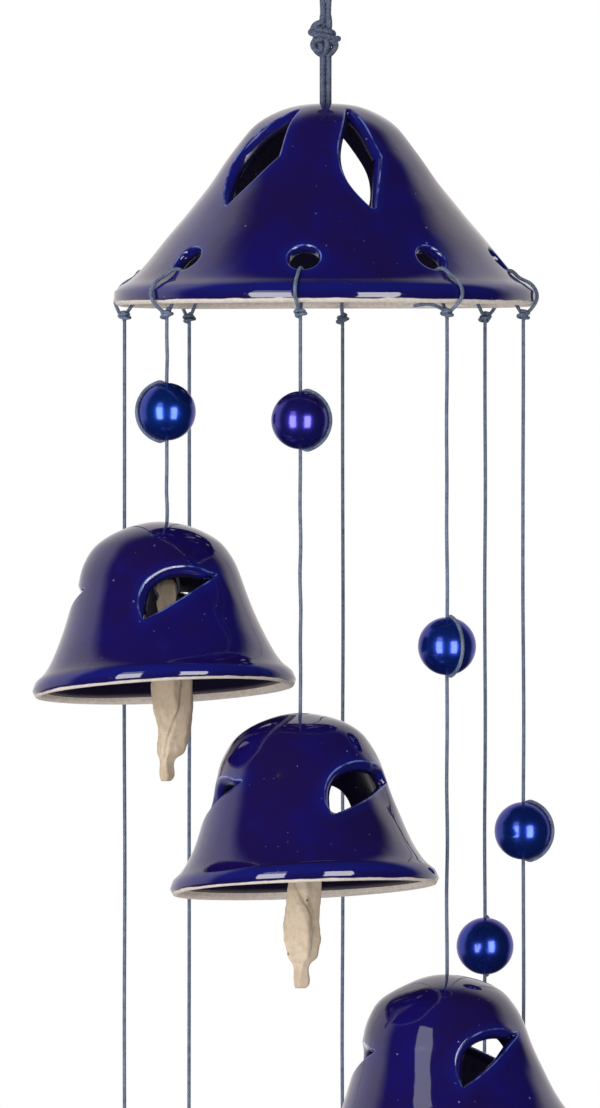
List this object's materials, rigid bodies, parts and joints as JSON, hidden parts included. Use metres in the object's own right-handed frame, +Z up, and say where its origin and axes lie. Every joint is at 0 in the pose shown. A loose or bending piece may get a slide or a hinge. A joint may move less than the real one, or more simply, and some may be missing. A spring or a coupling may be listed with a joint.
{
  "type": "hanging bell chime",
  "caption": "Hanging wind chime: a pierced glazed ceramic canopy with a falling spiral of glazed bells on beaded cords, each with a clay clapper.",
  "frame": {"origin": "point inside the top of the hanging loop, where a hook carries it", "axes": "+Z up along the suspension cord; -Y is the front, +X the viewer's right"},
  "size_m": [0.1641, 0.1665, 0.6187],
  "materials": {
    "glaze": "glossy cobalt glaze, bare at the rims",
    "clay": "unglazed",
    "bead": "pearl",
    "cord": "waxed twisted cord"
  },
  "bodies": {
    "hanger": {"hanging_loop": "cord"},
    "suspension": {"suspension_cord": "cord"},
    "string_1": {"cord_1": "cord", "bead_1": "bead"},
    "bell_1": {"bell_1": "glaze"},
    "clapper_1": {"clapper_1": "clay", "clapper_loop_1": "cord"},
    "string_2": {"cord_2": "cord", "bead_2": "bead"},
    "bell_2": {"bell_2": "glaze"},
    "clapper_2": {"clapper_2": "clay", "clapper_loop_2": "cord"},
    "string_3": {"cord_3": "cord", "bead_3": "bead"},
    "bell_3": {"bell_3": "glaze"},
    "clapper_3": {"clapper_3": "clay", "clapper_loop_3": "cord"},
    "string_4": {"cord_4": "cord", "bead_4": "bead"},
    "bell_4": {"bell_4": "glaze"},
    "clapper_4": {"clapper_4": "clay", "clapper_loop_4": "cord"},
    "string_5": {"cord_5": "cord", "bead_5": "bead"},
    "bell_5": {"bell_5": "glaze"},
    "clapper_5": {"clapper_5": "clay", "clapper_loop_5": "cord"},
    "string_6": {"cord_6": "cord", "bead_6": "bead"},
    "bell_6": {"bell_6": "glaze"},
    "clapper_6": {"clapper_6": "clay", "clapper_loop_6": "cord"},
    "string_7": {"cord_7": "cord", "bead_7": "bead"},
    "bell_7": {"bell_7": "glaze"},
    "clapper_7": {"clapper_7": "clay", "clapper_loop_7": "cord"},
    "string_8": {"cord_8": "cord", "bead_8": "bead"},
    "bell_8": {"bell_8": "glaze"},
    "clapper_8": {"clapper_8": "clay", "clapper_loop_8": "cord"},
    "canopy": {"canopy": "glaze", "rim_loop_1": "cord", "rim_loop_2": "cord", "rim_loop_3": "cord", "rim_loop_4": "cord", "rim_loop_5": "cord", "rim_loop_6": "cord", "rim_loop_7": "cord", "rim_loop_8": "cord"}
  },
  "joints": [
    {"name": "suspension_swing", "type": "hinge", "parent": "hanger", "child": "suspension", "pos_m": [0, 0, -0.04915], "axis": [1, 0, 0], "range_deg": [-20, 20]},
    {"name": "canopy_spin", "type": "hinge", "parent": "suspension", "child": "canopy", "pos_m": [0, 0, -0.0613], "axis": [0, 0, 1], "continuous": true},
    {"name": "string_1_swing", "type": "hinge", "parent": "canopy", "child": "string_1", "pos_m": [-0.03942, -0.03136, -0.1167], "axis": [-0.6225, 0.7826, 0], "range_deg": [-14, 25]},
    {"name": "bell_1_rock", "type": "hinge", "parent": "string_1", "child": "bell_1", "pos_m": [-0.03942, -0.03136, -0.1673], "axis": [-0.6225, 0.7826, 0], "range_deg": [-8, 8]},
    {"name": "clapper_1_swing", "type": "hinge", "parent": "string_1", "child": "clapper_1", "pos_m": [-0.03942, -0.03136, -0.17355], "axis": [-0.6225, 0.7826, 0], "range_deg": [-31, 33]},
    {"name": "string_2_swing", "type": "hinge", "parent": "canopy", "child": "string_2", "pos_m": [-0.00631, -0.04997, -0.1167], "axis": [0.9921, -0.1253, 0], "range_deg": [-25, 9]},
    {"name": "bell_2_rock", "type": "hinge", "parent": "string_2", "child": "bell_2", "pos_m": [-0.00631, -0.04997, -0.2146], "axis": [0.9921, -0.1253, 0], "range_deg": [-8, 8]},
    {"name": "clapper_2_swing", "type": "hinge", "parent": "string_2", "child": "clapper_2", "pos_m": [-0.00631, -0.04997, -0.22085], "axis": [0.9921, -0.1253, 0], "range_deg": [-35, 29]},
    {"name": "string_3_swing", "type": "hinge", "parent": "canopy", "child": "string_3", "pos_m": [0.02996, -0.04049, -0.1167], "axis": [-0.8039, -0.5948, 0], "range_deg": [-6, 25]},
    {"name": "bell_3_rock", "type": "hinge", "parent": "string_3", "child": "bell_3", "pos_m": [0.02996, -0.04049, -0.2793], "axis": [-0.8039, -0.5948, 0], "range_deg": [-8, 8]},
    {"name": "clapper_3_swing", "type": "hinge", "parent": "string_3", "child": "clapper_3", "pos_m": [0.02996, -0.04049, -0.28555], "axis": [-0.8039, -0.5948, 0], "range_deg": [-31, 34]},
    {"name": "string_4_swing", "type": "hinge", "parent": "canopy", "child": "string_4", "pos_m": [0.04927, -0.01047, -0.1167], "axis": [0.2079, 0.9781, 0], "range_deg": [-25, 5]},
    {"name": "bell_4_rock", "type": "hinge", "parent": "string_4", "child": "bell_4", "pos_m": [0.04927, -0.01047, -0.3343], "axis": [0.2079, 0.9781, 0], "range_deg": [-8, 8]},
    {"name": "clapper_4_swing", "type": "hinge", "parent": "string_4", "child": "clapper_4", "pos_m": [0.04927, -0.01047, -0.34055], "axis": [0.2079, 0.9781, 0], "range_deg": [-31, 35]},
    {"name": "string_5_swing", "type": "hinge", "parent": "canopy", "child": "string_5", "pos_m": [0.04023, 0.03031, -0.1167], "axis": [0.6018, -0.7986, 0], "range_deg": [-4, 25]},
    {"name": "bell_5_rock", "type": "hinge", "parent": "string_5", "child": "bell_5", "pos_m": [0.04023, 0.03031, -0.3893], "axis": [0.6018, -0.7986, 0], "range_deg": [-8, 8]},
    {"name": "clapper_5_swing", "type": "hinge", "parent": "string_5", "child": "clapper_5", "pos_m": [0.04023, 0.03031, -0.39555], "axis": [0.6018, -0.7986, 0], "range_deg": [-30, 35]},
    {"name": "string_6_swing", "type": "hinge", "parent": "canopy", "child": "string_6", "pos_m": [0.00439, 0.05018, -0.1167], "axis": [-0.9962, 0.0872, 0], "range_deg": [-25, 3.5]},
    {"name": "bell_6_rock", "type": "hinge", "parent": "string_6", "child": "bell_6", "pos_m": [0.00439, 0.05018, -0.4443], "axis": [-0.9962, 0.0872, 0], "range_deg": [-8, 8]},
    {"name": "clapper_6_swing", "type": "hinge", "parent": "string_6", "child": "clapper_6", "pos_m": [0.00439, 0.05018, -0.45055], "axis": [-0.9962, 0.0872, 0], "range_deg": [-30, 34]},
    {"name": "string_7_swing", "type": "hinge", "parent": "canopy", "child": "string_7", "pos_m": [-0.03435, 0.03684, -0.1167], "axis": [0.7314, 0.682, 0], "range_deg": [-3, 25]},
    {"name": "bell_7_rock", "type": "hinge", "parent": "string_7", "child": "bell_7", "pos_m": [-0.03435, 0.03684, -0.4993], "axis": [0.7314, 0.682, 0], "range_deg": [-8, 8]},
    {"name": "clapper_7_swing", "type": "hinge", "parent": "string_7", "child": "clapper_7", "pos_m": [-0.03435, 0.03684, -0.50555], "axis": [0.7314, 0.682, 0], "range_deg": [-32, 34]},
    {"name": "string_8_swing", "type": "hinge", "parent": "canopy", "child": "string_8", "pos_m": [-0.0503, 0.00264, -0.1167], "axis": [-0.0523, -0.9986, 0], "range_deg": [-25, 2.7]},
    {"name": "bell_8_rock", "type": "hinge", "parent": "string_8", "child": "bell_8", "pos_m": [-0.0503, 0.00264, -0.5543], "axis": [-0.0523, -0.9986, 0], "range_deg": [-8, 8]},
    {"name": "clapper_8_swing", "type": "hinge", "parent": "string_8", "child": "clapper_8", "pos_m": [-0.0503, 0.00264, -0.56055], "axis": [-0.0523, -0.9986, 0], "range_deg": [-31, 35]}
  ]
}
